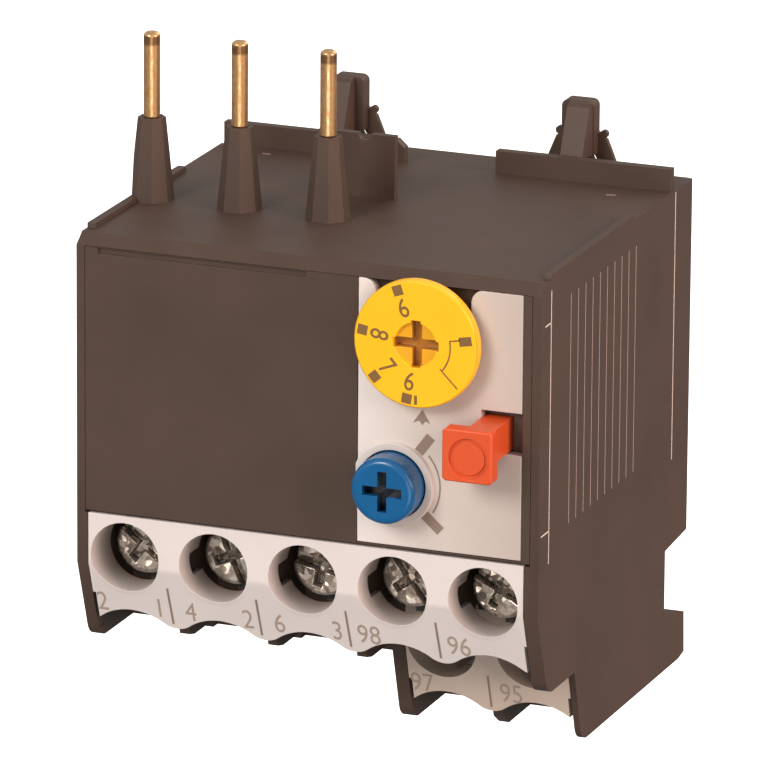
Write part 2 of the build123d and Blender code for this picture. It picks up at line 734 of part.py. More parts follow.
# Setting cam: its radius grows evenly over the turn of the dial, then steps back
with BuildPart() as setting_cam:
    with BuildSketch(facing(cam_front + cam_thickness)):
        with BuildLine(Plane.XY):
            steps = 12
            rise = []
            for i in range(steps + 1):
                angle = radians(180 - cam_turn * i / steps)
                reach = cam_base + cam_rise * i / steps
                rise.append((across(dial_centre) + reach * cos(angle), dial_height + reach * sin(angle)))
            last_angle = radians(180 - cam_turn)
            step_foot = (across(dial_centre) + cam_base * cos(last_angle),
                         dial_height + cam_base * sin(last_angle))
            Spline(*rise)
            Line(rise[-1], step_foot)
            half_angle = radians(-cam_turn / 2)
            ThreePointArc(
                step_foot,
                (across(dial_centre) + cam_base * cos(half_angle), dial_height + cam_base * sin(half_angle)),
                rise[0],
            )
        make_face()
        with Locations((across(dial_centre), dial_height)):
            Circle(1.62, mode=Mode.SUBTRACT)
    extrude(amount=cam_thickness)
setting_cam.part.label = "setting_cam"
export_step(setting_cam.part, "parts/setting_cam.step")

# Adjusting slide: follows the cam and reaches back to the trip lever
with BuildPart() as adjusting_slide:
    nose = dial_centre - cam_base - 0.12
    adjust_left = mechanism_left + cam_rise + 0.2
    block(adjust_left, nose - 1.2, cam_front + 0.1, cam_front + cam_thickness - 0.1,
          dial_height - 1.25, dial_height + 1.25)
    block(nose - 1.2, nose, cam_front + 0.1, cam_front + cam_thickness - 0.1,
          dial_height - 0.55, dial_height + 0.55)
    block(adjust_left, adjust_left + 1.0, cam_front + 0.1, slide_front - 2.2, dial_height - 1.25, dial_height - 0.25)
adjusting_slide.part.label = "adjusting_slide"
export_step(adjusting_slide.part, "parts/adjusting_slide.step")

# Reset sleeve: the cup behind the cover that the reset button turns and slides in
sleeve_outer = reset_guide_radius - running_gap
sleeve_inner = reset_radius + 0.5
with BuildPart() as reset_sleeve:
    rod(reset_centre, reset_height, sleeve_outer, cover_thickness + running_gap, sleeve_back)
    rod(reset_centre, reset_height, sleeve_inner, cover_thickness, sleeve_back - 0.8, Mode.SUBTRACT)
reset_sleeve.part.label = "reset_sleeve"
export_step(reset_sleeve.part, "parts/reset_sleeve.step")

# Reset button: a round cap with a cross slot, held by a flange behind the cover
flange_front = cover_thickness + 0.2
with BuildPart() as reset_button:
    rod(reset_centre, reset_height, reset_radius, reset_face, flange_front)
    fillet(reset_button.edges().sort_by(Axis.Y)[0], 0.6)
    rod(reset_centre, reset_height, reset_radius + 0.4, flange_front, flange_front + 0.8)
    rod(reset_centre, reset_height, 1.4, flange_front + 0.8, flange_front + 3.2)
    for wide, tall in ((3.8, 0.9), (0.9, 3.8)):
        block(reset_centre - wide / 2, reset_centre + wide / 2, reset_face - 1, reset_face + 1.5,
              reset_height - tall / 2, reset_height + tall / 2, Mode.SUBTRACT)
reset_button.part.label = "reset_button"
export_step(reset_button.part, "parts/reset_button.step")


def coil_spring(from_left, height, radius, wire, front, length, turns):
    """A compression spring that lies from front to back."""
    start = (across(from_left), behind(front) + wire, height)
    rise = length - 2 * wire
    with BuildPart() as coil:
        with BuildLine() as path:
            Helix(pitch=rise / turns, height=rise, radius=radius, center=start, direction=(0, 1, 0))
        with BuildSketch(Plane(origin=path.line @ 0, z_dir=path.line % 0)):
            Circle(wire)
        sweep()
    return coil.part


# Springs of the two buttons, drawn pressed together
spring_front = flange_front + 0.85
reset_spring = coil_spring(reset_centre, reset_height, 2.1, 0.25, spring_front,
                           sleeve_back - 0.8 - spring_front - reset_travel - 0.1, 3.5)
reset_spring.label = "reset_spring"
export_step(reset_spring, "parts/reset_spring.step")

# Test button: a square head on a stem that runs in the slot beside it
stem_back = 4.0
stem_middle = (test_stem_left + test_stem_right) / 2
stem_height = (test_top + test_stem_bottom) / 2
with BuildPart() as test_button:
    block(test_left, test_right, test_face, test_face + test_head, test_bottom, test_top)
    chamfer(test_button.edges().filter_by(Axis.Y), 0.28)
    chamfer(test_button.faces().sort_by(Axis.Y)[0].edges(), 0.12)
    block(test_stem_left, test_stem_right, test_face + test_head, stem_back, test_stem_bottom, test_top)
    rod(stem_middle, stem_height, 0.7, stem_back, 7.5)
    ring_centre, ring_height = test_left + 2.52, test_bottom + 2.25
    rod(ring_centre, ring_height, 1.9, test_face - 1, test_face + 0.25, Mode.SUBTRACT)
    rod(ring_centre, ring_height, 1.52, test_face + 0.05, test_face + 0.25)
test_button.part.label = "test_button"
export_step(test_button.part, "parts/test_button.step")
test_spring = coil_spring(stem_middle, stem_height, 1.1, 0.2, stem_back + 0.05,
                          guide_back - stem_back - test_travel - 0.1, 3.5)
test_spring.label = "test_spring"
export_step(test_spring, "parts/test_spring.step")

# Trip slide: a bar across the three phases, pushed by a finger beside each bimetal
slide_bottom = slide_top - slide_height
slide_back = slide_front + slide_thickness
crank_left = crank_pivot - 1.0
contact_line = crank_height - crank_arm
with BuildPart() as trip_slide:
    block(inner_left + 0.9, crank_left - 2.0, slide_front, slide_back, slide_bottom, slide_top)
    block(crank_left - 2.0, crank_left - 0.15, slide_front, slide_back, contact_line - 0.4, contact_line + 0.4)
    for strip in bimetals:
        finger = strip + bimetal_thickness / 2 + running_gap
        block(finger, finger + 0.6, pin_row_depth - 0.8, slide_front, slide_bottom, bimetal_bottom + 0.6)
trip_slide.part.label = "trip_slide"
export_step(trip_slide.part, "parts/trip_slide.step")

# Trip crank: turns the sideways push of the slide into a lift of the contact carrier
peg_left, peg_right = post_left + 0.6, post_right - 0.4
with BuildPart() as trip_crank:
    rod(crank_pivot, crank_height, 1.8, slide_front, slide_back)
    block(crank_left, crank_pivot + 1.0, slide_front, slide_back, contact_line - 1.0, crank_height)
    block(crank_pivot, peg_right + 0.2, slide_front, slide_back, crank_height - 0.6, crank_height + 0.6)
    rod(crank_pivot, crank_height, crank_pin_radius + 0.05, slide_front - 1, slide_back + 1, Mode.SUBTRACT)
trip_crank.part.label = "trip_crank"
export_step(trip_crank.part, "parts/trip_crank.step")

# Contact carrier: a post in the floor collar with an arm under each bridge
arm_front, arm_back = post_front + 0.4, post_back - 0.4
with BuildPart() as contact_carrier:
    block(post_left, post_right, post_front, post_back, floor_top + 0.4, crank_height + 2.9)
    block(peg_left, peg_right, post_back, slide_back, crank_height + 0.7, crank_height + 1.9)
    block(no_bridge - bridge_half, post_left, arm_front, arm_back,
          no_bridge_height - 1.8, no_bridge_height - bridge_thickness / 2)
    block(post_right, nc_bridge + bridge_half, arm_front, arm_back,
          nc_bridge_height - 1.4, nc_bridge_height - bridge_thickness / 2)
contact_carrier.part.label = "contact_carrier"
export_step(contact_carrier.part, "parts/contact_carrier.step")

# Contact bridges: a strip across two fixed contacts, with a rivet near each end
for name, centre, height, facing_up in (
    ("no_contact_bridge", no_bridge, no_bridge_height, True),
    ("nc_contact_bridge", nc_bridge, nc_bridge_height, False),
):
    rivet = bridge_thickness / 2 + contact_height / 2
    rivet_height = height + rivet if facing_up else height - rivet
    with BuildPart() as bridge:
        block(centre - bridge_half, centre + bridge_half, strip_front - 0.5,
              lower_front + strip_front + strip_thickness + 0.9,
              height - bridge_thickness / 2, height + bridge_thickness / 2)
        for front in (strip_front, lower_front + strip_front):
            with Locations((across(centre), behind(front + 0.5), rivet_height)):
                Cylinder(contact_radius, contact_height)
    bridge.part.label = name
    export_step(bridge.part, f"parts/{name}.step")

# Clamps and terminal screws, five above and two below
places = [(well, 0, terminal_height) for well in upper_wells]
places += [(well, lower_front, lower_height) for well in lower_wells]
head_back = screw_head_depth + screw_head_height
for number, (well, front, height) in enumerate(places, 1):
    with BuildPart() as clamp:
        start = front + head_back + 0.02
        clamp_tall = clamp_half - 0.1
        block(well - clamp_half, well + clamp_half, start, start + clamp_thickness,
              height - clamp_tall, height + clamp_tall)
        block(well - 0.3, well + clamp_half - 0.6, start, start + clamp_thickness,
              height - clamp_tall - 0.95, height - clamp_tall)
        for left in (well - clamp_half, well + clamp_half - 0.3):
            block(left, left + 0.3, start, front + clamp_leg_end, height - 2.0, height + clamp_tall)
        rod(well, height, screw_radius + 0.05, start - 1, start + 3, Mode.SUBTRACT)
    clamp.part.label = f"clamp_{number}"
    export_step(clamp.part, f"parts/clamp_{number}.step")
    with BuildPart() as screw:
        rod(well, height, screw_head_radius, front + screw_head_depth, front + head_back)
        chamfer(screw.edges().sort_by(Axis.Y)[0], 0.35)
        rod(well, height, screw_radius, front + head_back, front + screw_end)
        chamfer(screw.edges().sort_by(Axis.Y)[-1], 0.4)
        for wide, tall in ((2 * screw_head_radius + 0.2, 0.9), (0.9, 1.4 * screw_head_radius)):
            block(well - wide / 2, well + wide / 2, front + screw_head_depth - 1, front + screw_head_depth + 1.1,
                  height - tall / 2, height + tall / 2, Mode.SUBTRACT)
    screw.part.label = f"screw_{number}"
    export_step(screw.part, f"parts/screw_{number}.step")
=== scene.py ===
import json
import math

import bmesh
import bpy
from mathutils import Matrix, Vector

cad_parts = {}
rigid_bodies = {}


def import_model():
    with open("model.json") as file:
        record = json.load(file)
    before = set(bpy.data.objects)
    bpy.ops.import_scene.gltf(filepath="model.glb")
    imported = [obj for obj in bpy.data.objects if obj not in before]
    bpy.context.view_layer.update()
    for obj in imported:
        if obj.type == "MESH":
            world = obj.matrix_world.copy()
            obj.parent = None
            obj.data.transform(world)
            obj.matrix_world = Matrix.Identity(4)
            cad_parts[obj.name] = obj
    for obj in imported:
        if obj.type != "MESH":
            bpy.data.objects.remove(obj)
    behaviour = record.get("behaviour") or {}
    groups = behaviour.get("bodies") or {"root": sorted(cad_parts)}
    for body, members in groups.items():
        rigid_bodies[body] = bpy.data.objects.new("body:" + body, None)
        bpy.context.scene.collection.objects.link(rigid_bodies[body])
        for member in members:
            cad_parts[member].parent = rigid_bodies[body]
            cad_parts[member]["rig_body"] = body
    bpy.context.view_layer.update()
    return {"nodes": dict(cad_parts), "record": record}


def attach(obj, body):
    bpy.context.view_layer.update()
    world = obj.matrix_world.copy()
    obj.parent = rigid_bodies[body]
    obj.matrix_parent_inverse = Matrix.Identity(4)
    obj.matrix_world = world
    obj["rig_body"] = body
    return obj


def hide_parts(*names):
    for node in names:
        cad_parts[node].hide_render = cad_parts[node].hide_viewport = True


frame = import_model()

# The studio: a camera at the photograph's angle, a white floor well below the relay, a soft key
# light from the upper left, and a grey surround that is brighter above than below.
MM = 0.001
AIM = Vector((0.0, 3.0, -22.0)) * MM
AZIMUTH = math.radians(21.2785)
ELEVATION = math.radians(16.5381)
ROLL = math.radians(0.4217)
DISTANCE = 855.72 * MM
SHIFT_RIGHT = 0.8807 * MM
SHIFT_UP = 5.5285 * MM
FOCAL_PIXELS = 9296.1
FRAME_PIXELS = 768


def camera_axes():
    """Right, up and backward directions of the camera."""
    back = Vector((math.sin(AZIMUTH) * math.cos(ELEVATION),
                   -math.cos(AZIMUTH) * math.cos(ELEVATION),
                   math.sin(ELEVATION)))
    level = Vector((math.cos(AZIMUTH), math.sin(AZIMUTH), 0.0))
    above = back.cross(level)
    right = math.cos(ROLL) * level + math.sin(ROLL) * above
    up = -math.sin(ROLL) * level + math.cos(ROLL) * above
    return right, up, back


right, up, back = camera_axes()
eye = AIM + right * SHIFT_RIGHT + up * SHIFT_UP + back * DISTANCE
camera_data = bpy.data.cameras.new("camera")
camera_data.sensor_width = 36.0
camera_data.lens = FOCAL_PIXELS * 36.0 / FRAME_PIXELS
camera_data.clip_start = 0.05
camera_data.clip_end = 20.0
camera = bpy.data.objects.new("camera", camera_data)
camera.matrix_world = Matrix((
    (right.x, up.x, back.x, eye.x),
    (right.y, up.y, back.y, eye.y),
    (right.z, up.z, back.z, eye.z),
    (0.0, 0.0, 0.0, 1.0),
))
bpy.context.scene.collection.objects.link(camera)
bpy.context.scene.camera = camera
bpy.context.scene.view_settings.view_transform = "Standard"
bpy.context.scene.view_settings.look = "None"


def linear(code):
    """An sRGB hex colour as linear red, green, blue and alpha."""
    values = [int(code[i:i + 2], 16) / 255 for i in (1, 3, 5)]
    turned = [v / 12.92 if v <= 0.04045 else ((v + 0.055) / 1.055) ** 2.4 for v in values]
    return (*turned, 1.0)


def add_node(tree, kind, links=None, **settings):
    """Adds a node; settings are its properties, and links give its sockets values or sources."""
    made = tree.nodes.new(kind)
    for name, value in settings.items():
        setattr(made, name, value)
    for socket, value in (links or {}).items():
        if isinstance(value, bpy.types.NodeSocket):
            tree.links.new(value, made.inputs[socket])
        else:
            made.inputs[socket].default_value = value
    return made


def add_light(name, towards, reach, size, watts, tint):
    """A square soft light that looks at the relay from the given direction."""
    data = bpy.data.lights.new(name, "AREA")
    data.size = size
    data.energy = watts
    data.color = linear(tint)[:3]
    lamp = bpy.data.objects.new(name, data)
    direction = Vector(towards).normalized()
    lamp.matrix_world = (Matrix.Translation(AIM + direction * reach)
                         @ direction.to_track_quat("Z", "Y").to_matrix().to_4x4())
    bpy.context.scene.collection.objects.link(lamp)


# Each light: its direction from the relay, its distance and size in metres, its power and tint.
add_light("key_light", (-0.40, -1.0, 0.62), 0.9, 0.34, 5.3, "#FFF4EA")
add_light("side_fill", (1.0, -0.25, 0.35), 0.8, 0.40, 6.0, "#FFD8C8")
add_light("back_fill", (0.45, 1.0, 0.7), 0.9, 0.40, 1.5, "#FFEFE2")
add_light("low_front", (0.35, -1.0, -0.25), 0.9, 0.50, 2.0, "#FFF1E6")

FLOOR_DROP = 0.35
FLOOR_HALF = 4.0
floor_mesh = bpy.data.meshes.new("white_floor")
floor_mesh.from_pydata(
    [(u * FLOOR_HALF, v * FLOOR_HALF, -FLOOR_DROP) for u, v in ((-1, -1), (1, -1), (1, 1), (-1, 1))],
    [], [(0, 1, 2, 3)])
floor_finish = bpy.data.materials.new("lit_white_floor")
floor_finish.use_nodes = True
floor_shader = floor_finish.node_tree.nodes["Principled BSDF"]
floor_shader.inputs["Base Color"].default_value = linear("#FFFFFF")
floor_shader.inputs["Emission Color"].default_value = linear("#FFFFFF")
floor_shader.inputs["Emission Strength"].default_value = 1.0
floor_mesh.materials.append(floor_finish)
floor = bpy.data.objects.new("white_floor", floor_mesh)
floor.visible_diffuse = False
floor.visible_glossy = False
bpy.context.scene.collection.objects.link(floor)

world = bpy.data.worlds.new("studio")
world.use_nodes = True
sky = world.node_tree
way = add_node(sky, "ShaderNodeTexCoord")
parts_of_way = add_node(sky, "ShaderNodeSeparateXYZ", {"Vector": way.outputs["Generated"]})
height_share = add_node(sky, "ShaderNodeMapRange", {
    "Value": parts_of_way.outputs["Z"], "From Min": -1.0, "From Max": 1.0, "To Min": 0.0, "To Max": 1.0})
LOW_GREY = (0.42, 0.395, 0.38, 1.0)
HIGH_GREY = (0.85, 0.81, 0.78, 1.0)
SKY_STRENGTH = 0.72
grey_of_height = add_node(sky, "ShaderNodeValToRGB", {"Fac": height_share.outputs["Result"]})
low_stop, high_stop = grey_of_height.color_ramp.elements
low_stop.position = 0.35
low_stop.color = LOW_GREY
high_stop.position = 0.62
high_stop.color = HIGH_GREY
sky.links.new(grey_of_height.outputs["Color"], sky.nodes["Background"].inputs["Color"])
sky.nodes["Background"].inputs["Strength"].default_value = SKY_STRENGTH
bpy.context.scene.world = world


# The housing and the latch hooks: glass-filled polyamide, injection moulded in a dull brown.
# The mould rounds every edge a little, and its spark-eroded walls leave a fine grain.
WIDTH = 45.0
PIN_ROW_DEPTH = 14.0
CLOUD_SIZE = 9.0


def place(from_left, from_front, height):
    """A point in metres from millimetres right of the left face, behind the front and up."""
    return Vector(((from_left - WIDTH / 2) * MM, (from_front - PIN_ROW_DEPTH) * MM, height * MM))


def moulded(name, light, dark, roughness, grain_mm, grain_height_mm, ior=1.5):
    """A moulded plastic: two close shades in soft clouds, and a fine grain in its surface."""
    finish = bpy.data.materials.new(name)
    finish.use_nodes = True
    tree = finish.node_tree
    shader = tree.nodes["Principled BSDF"]
    spot = add_node(tree, "ShaderNodeTexCoord")
    clouds = add_node(tree, "ShaderNodeTexNoise", {
        "Vector": spot.outputs["Object"], "Scale": 1.0 / (CLOUD_SIZE * MM), "Detail": 4.0, "Roughness": 0.6})
    shades = add_node(tree, "ShaderNodeValToRGB", {"Fac": clouds.outputs["Fac"]})
    shades.color_ramp.elements[0].position = 0.3
    shades.color_ramp.elements[0].color = linear(dark)
    shades.color_ramp.elements[1].position = 0.7
    shades.color_ramp.elements[1].color = linear(light)
    grain = add_node(tree, "ShaderNodeTexNoise", {
        "Vector": spot.outputs["Object"], "Scale": 1.0 / (grain_mm * MM), "Detail": 2.0, "Roughness": 0.5})
    bump = add_node(tree, "ShaderNodeBump", {
        "Height": grain.outputs["Fac"], "Distance": grain_height_mm * MM, "Strength": 1.0})
    gloss = add_node(tree, "ShaderNodeMapRange", {
        "Value": clouds.outputs["Fac"], "From Min": 0.3, "From Max": 0.7,
        "To Min": roughness - 0.04, "To Max": roughness + 0.05})
    tree.links.new(shades.outputs["Color"], shader.inputs["Base Color"])
    tree.links.new(gloss.outputs["Result"], shader.inputs["Roughness"])
    tree.links.new(bump.outputs["Normal"], shader.inputs["Normal"])
    shader.inputs["IOR"].default_value = ior
    return finish


def shade_recess(finish, centre, radius_mm, first_depth, last_depth, code, strength=1.0, pitch_mm=None):
    """Paints shade into a finish in a recess, or a row of them: inside the radius, fading in with depth."""
    tree = finish.node_tree
    shader = tree.nodes["Principled BSDF"]
    plain = shader.inputs["Base Color"].links[0].from_socket
    middle = place(centre[0], 0.0, centre[1])
    spot = add_node(tree, "ShaderNodeTexCoord")
    axes = add_node(tree, "ShaderNodeSeparateXYZ", {"Vector": spot.outputs["Object"]})
    beside = axes.outputs["X"]
    if pitch_mm is not None:
        half = pitch_mm * MM / 2
        beside = add_node(tree, "ShaderNodeMath", {
            0: beside, 1: middle.x + half, 2: middle.x - half}, operation="WRAP").outputs["Value"]
    level = add_node(tree, "ShaderNodeCombineXYZ", {"X": beside, "Z": axes.outputs["Z"]})
    reach = add_node(tree, "ShaderNodeVectorMath", {
        0: level.outputs["Vector"], 1: (middle.x, 0.0, middle.z)}, operation="DISTANCE")
    inside = add_node(tree, "ShaderNodeMapRange", {
        "Value": reach.outputs["Value"], "From Min": radius_mm * MM, "From Max": 0.92 * radius_mm * MM,
        "To Min": 0.0, "To Max": strength})
    behind = add_node(tree, "ShaderNodeMapRange", {
        "Value": axes.outputs["Y"], "From Min": (first_depth - PIN_ROW_DEPTH) * MM,
        "From Max": (last_depth - PIN_ROW_DEPTH) * MM, "To Min": 0.0, "To Max": 1.0})
    both = add_node(tree, "ShaderNodeMath", {
        0: inside.outputs["Result"], 1: behind.outputs["Result"]}, operation="MULTIPLY")
    mixed = add_node(tree, "ShaderNodeMixRGB", {
        "Fac": both.outputs["Value"], "Color1": plain, "Color2": linear(code)})
    tree.links.new(mixed.outputs["Color"], shader.inputs["Base Color"])


def body_of_node(name):
    """The CAD body that a CAD node rides on."""
    return frame["nodes"][name]["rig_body"]


SAME_CORNER = 0.0005
FLAT_ANGLE = math.radians(0.5)
SHARP_ANGLE = math.radians(28.0)


def softened(node_name, piece_name, finish, edge_mm, segments=2, trim=None):
    """A copy of a CAD piece with its edges rounded by edge_mm, which stands for that piece."""
    mesh = frame["nodes"][node_name].data.copy()
    mesh.name = piece_name
    shape = bmesh.new()
    shape.from_mesh(mesh)
    bmesh.ops.remove_doubles(shape, verts=shape.verts, dist=SAME_CORNER * MM)
    if trim is not None:
        trim(shape)
    bmesh.ops.dissolve_limit(shape, angle_limit=FLAT_ANGLE, verts=shape.verts, edges=shape.edges)
    shape.to_mesh(mesh)
    shape.free()
    mesh.polygons.foreach_set("use_smooth", [True] * len(mesh.polygons))
    rough_piece = bpy.data.objects.new(piece_name + "_rough", mesh)
    bpy.context.scene.collection.objects.link(rough_piece)
    bevel = rough_piece.modifiers.new("mould_radius", "BEVEL")
    bevel.width = edge_mm * MM
    bevel.segments = segments
    bevel.limit_method = "ANGLE"
    bevel.angle_limit = SHARP_ANGLE
    bevel.use_clamp_overlap = True
    even = rough_piece.modifiers.new("flat_walls", "WEIGHTED_NORMAL")
    even.mode = "FACE_AREA"
    even.weight = 100
    graph = bpy.context.evaluated_depsgraph_get()
    finished = bpy.data.meshes.new_from_object(rough_piece.evaluated_get(graph))
    bpy.data.objects.remove(rough_piece)
    finished.materials.clear()
    finished.materials.append(finish)
    piece = bpy.data.objects.new(piece_name, finished)
    bpy.context.scene.collection.objects.link(piece)
    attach(piece, body_of_node(node_name))
    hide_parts(node_name)
    return piece


PITCH = 8.75
UPPER_FIRST = 4.7
LOWER_FIN = 36.45
FIN_REACH = 0.6
UPPER_TIP, UPPER_TIP_DEPTH, UPPER_TIP_SLANT = -38.1, 3.9, 4.0
LOWER_TIP, LOWER_TIP_DEPTH, LOWER_TIP_SLANT = -45.4, 13.1, 1.5


def trim_fins(shape):
    """Slants the front tips of the fins below the terminal covers back, as the mould does."""
    upper_fins = [UPPER_FIRST + PITCH * (i + 0.5) for i in range(4)]
    for corner in shape.verts:
        from_left = corner.co.x / MM + WIDTH / 2
        from_front = corner.co.y / MM + PIN_ROW_DEPTH
        height = corner.co.z / MM
        at_upper_tip = UPPER_TIP - 0.4 < height < UPPER_TIP + 0.05
        at_lower_tip = height < LOWER_TIP + 0.05
        if at_upper_tip and any(abs(from_left - fin) < FIN_REACH for fin in upper_fins):
            wanted = UPPER_TIP_DEPTH + UPPER_TIP_SLANT * (UPPER_TIP - height)
        elif at_lower_tip and abs(from_left - LOWER_FIN) < FIN_REACH:
            wanted = LOWER_TIP_DEPTH + LOWER_TIP_SLANT * (LOWER_TIP - height)
        else:
            continue
        if from_front < wanted:
            corner.co.y = (wanted - PIN_ROW_DEPTH) * MM


# The dull grain scatters the sheen, so this plastic has a lower refraction than its resin.
housing_brown = moulded("glass_filled_polyamide_brown", "#4B3D35", "#43362F", 0.54, 0.16, 0.012, 1.38)
housing_piece = softened("housing", "housing_moulding", housing_brown, 0.12, trim=trim_fins)
for side in ("left", "right"):
    hook_piece = softened(f"{side}_hook", f"{side}_latch_hook", housing_brown, 0.25, 3)
back_piece = softened("back_cover", "back_plate", housing_brown, 0.15)

# The front cover: the same plastic family in a darker, smoother moulding, clipped in flush.
cover_dark = moulded("polycarbonate_blend_dark_brown", "#48392F", "#43352C", 0.45, 0.12, 0.004)
front_piece = softened("front_cover", "front_cover_plate", cover_dark, 0.06)

# The setting panel and the two terminal covers: light grey polycarbonate, satin from a
# polished mould. Their edges are crisp, with a radius of a tenth of a millimetre.
WELL_HEIGHT = -30.25
WELL_RADIUS = 3.9
light_grey = moulded("polycarbonate_light_grey", "#D3CFCE", "#CECAC9", 0.45, 0.10, 0.004)
panel_grey = moulded("polycarbonate_panel_grey", "#C8C0BB", "#C2BAB5", 0.38, 0.10, 0.004)
# The lower terminal cover gets a darker copy of the same grey: painted shade under the upper tier.
painted_shade_grey = moulded("polycarbonate_grey_painted_shade", "#C6B7AC", "#BFB0A5", 0.45, 0.10, 0.004)
# Painted shade in the upper cover's terminal wells: the grey turns brown towards the back of each well.
shade_recess(light_grey, (UPPER_FIRST, WELL_HEIGHT), WELL_RADIUS, 0.35, 4.8, "#7D6858", 0.8, PITCH)


def paint_light_and_shade_across(finish, left, right, code, strength):
    """Paints light and shade across a finish, turning it towards another colour between two distances from
    the left face.
    """
    tree = finish.node_tree
    shader = tree.nodes["Principled BSDF"]
    plain = shader.inputs["Base Color"].links[0].from_socket
    spot = add_node(tree, "ShaderNodeTexCoord")
    axes = add_node(tree, "ShaderNodeSeparateXYZ", {"Vector": spot.outputs["Object"]})
    across = add_node(tree, "ShaderNodeMapRange", {
        "Value": axes.outputs["X"],
        "From Min": place(left, 0.0, 0.0).x, "From Max": place(right, 0.0, 0.0).x,
        "To Min": 0.0, "To Max": strength})
    mixed = add_node(tree, "ShaderNodeMixRGB", {
        "Fac": across.outputs["Result"], "Color1": plain, "Color2": linear(code)})
    tree.links.new(mixed.outputs["Color"], shader.inputs["Base Color"])


# Painted light on the panel's left part and painted shade on its right part.
paint_light_and_shade_across(panel_grey, 34.0, 26.0, "#E6E3E3", 0.8)
paint_light_and_shade_across(panel_grey, 36.0, 44.0, "#A99F98", 0.6)
for node_name, piece_name, finish in (
    ("setting_panel", "setting_panel_inlay", panel_grey),
    ("upper_terminal_cover", "upper_terminal_front", light_grey),
    ("lower_terminal_cover", "lower_terminal_front", painted_shade_grey),
):
    softened(node_name, piece_name, finish, 0.10)

# Printed and engraved marks: thin grey-brown lines, numbers and bars on the light parts and
# on the dial. Each is a closed film a hundredth of a millimetre thick that lies on its surface.
PRINT_TOP = 0.012
PRINT_UNDER = 0.002


def ink(name, colour):
    """A pad-printed ink: one colour with a slightly uneven, dry surface."""
    finish = bpy.data.materials.new(name)
    finish.use_nodes = True
    tree = finish.node_tree
    shader = tree.nodes["Principled BSDF"]
    spot = add_node(tree, "ShaderNodeTexCoord")
    speck = add_node(tree, "ShaderNodeTexNoise", {
        "Vector": spot.outputs["Object"], "Scale": 1.0 / (0.25 * MM), "Detail": 3.0})
    shades = add_node(tree, "ShaderNodeMixRGB", {
        "Fac": speck.outputs["Fac"], "Color1": linear(colour),
        "Color2": tuple(0.8 * v for v in linear(colour)[:3]) + (1.0,)})
    tree.links.new(shades.outputs["Color"], shader.inputs["Base Color"])
    shader.inputs["Roughness"].default_value = 0.6
    return finish


grey_ink = ink("pad_print_taupe", "#8B7A6E")
number_ink = ink("pad_print_light_taupe", "#A5968B")
brown_ink = ink("pad_print_brown", "#7C5C2F")
white_ink = ink("pad_print_white", "#E0D4CB")
rule_ink = ink("pad_print_dim_white", "#AFA198")


class Front:
    """A front-view surface that marks lie on: vertical, or leaning back below a knee."""

    def __init__(self, from_front, knee=None, lean=0.0):
        self.from_front = from_front
        self.knee = knee
        self.lean = lean

    def point(self, from_left, height, rise):
        depth = self.from_front - rise
        if self.knee is not None and height < self.knee:
            depth += self.lean * (self.knee - height)
        return place(from_left, depth, height)


class RightSide:
    """The right face of the housing; marks on it are given by depth and height."""

    def point(self, from_front, height, rise):
        return place(WIDTH + rise, from_front, height)


def film(name, surface, corners, faces, finish, body):
    """A closed film on a surface; a corner is (across, height, True for the outer side)."""
    mesh = bpy.data.meshes.new(name)
    mesh.from_pydata(
        [surface.point(u, v, PRINT_TOP if outer else PRINT_UNDER) for u, v, outer in corners], [], faces)
    shape = bmesh.new()
    shape.from_mesh(mesh)
    bmesh.ops.remove_doubles(shape, verts=shape.verts, dist=0.001 * MM)
    bmesh.ops.recalc_face_normals(shape, faces=shape.faces)
    shape.to_mesh(mesh)
    shape.free()
    mesh.materials.append(finish)
    piece = bpy.data.objects.new(name, mesh)
    bpy.context.scene.collection.objects.link(piece)
    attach(piece, body)
    return piece


def print_shapes(name, surface, outlines, finish, body):
    """Marks with straight-line outlines; each outline is a list of (across, height)."""
    corners, faces = [], []
    for outline in outlines:
        first, size = len(corners), len(outline)
        corners += [(u, v, True) for u, v in outline] + [(u, v, False) for u, v in outline]
        faces.append([first + i for i in range(size)])
        faces.append([first + size + i for i in range(size)][::-1])
        for i in range(size):
            j = (i + 1) % size
            faces.append([first + i, first + size + i, first + size + j, first + j])
    return film(name, surface, corners, faces, finish, body)


def bar(centre, length, wide, angle=0.0):
    """A bar's four corners in the front view, its length along the angle in degrees."""
    c, s = math.cos(math.radians(angle)), math.sin(math.radians(angle))
    half, thin = length / 2, wide / 2
    corners = ((-half, -thin), (half, -thin), (half, thin), (-half, thin))
    return [(centre[0] + c * u - s * v, centre[1] + s * u + c * v) for u, v in corners]


ARC_STEPS = 16


def arc_band(centre, radius, wide, start, stop):
    """A curved line's outline in the front view."""
    outer, inner = [], []
    for i in range(ARC_STEPS + 1):
        turn = math.radians(start + (stop - start) * i / ARC_STEPS)
        outer.append((centre[0] + (radius + wide / 2) * math.cos(turn),
                      centre[1] + (radius + wide / 2) * math.sin(turn)))
        inner.append((centre[0] + (radius - wide / 2) * math.cos(turn),
                      centre[1] + (radius - wide / 2) * math.sin(turn)))
    return outer + inner[::-1]


DIGIT_WIDTH = 0.85
CAPITAL_SHARE = 0.70


def number_mesh(text, tall, weight):
    """The closed mesh of a plain number, thin-stroked, centred on its own middle."""
    letters = bpy.data.curves.new("number", "FONT")
    letters.body = text
    letters.size = tall / CAPITAL_SHARE
    letters.offset = weight * tall
    letters.extrude = 0.05
    letters.resolution_u = 4
    letters.align_x = "CENTER"
    letters.align_y = "CENTER"
    writing = bpy.data.objects.new("number", letters)
    bpy.context.scene.collection.objects.link(writing)
    graph = bpy.context.evaluated_depsgraph_get()
    mesh = bpy.data.meshes.new_from_object(writing.evaluated_get(graph))
    bpy.data.objects.remove(writing)
    return mesh


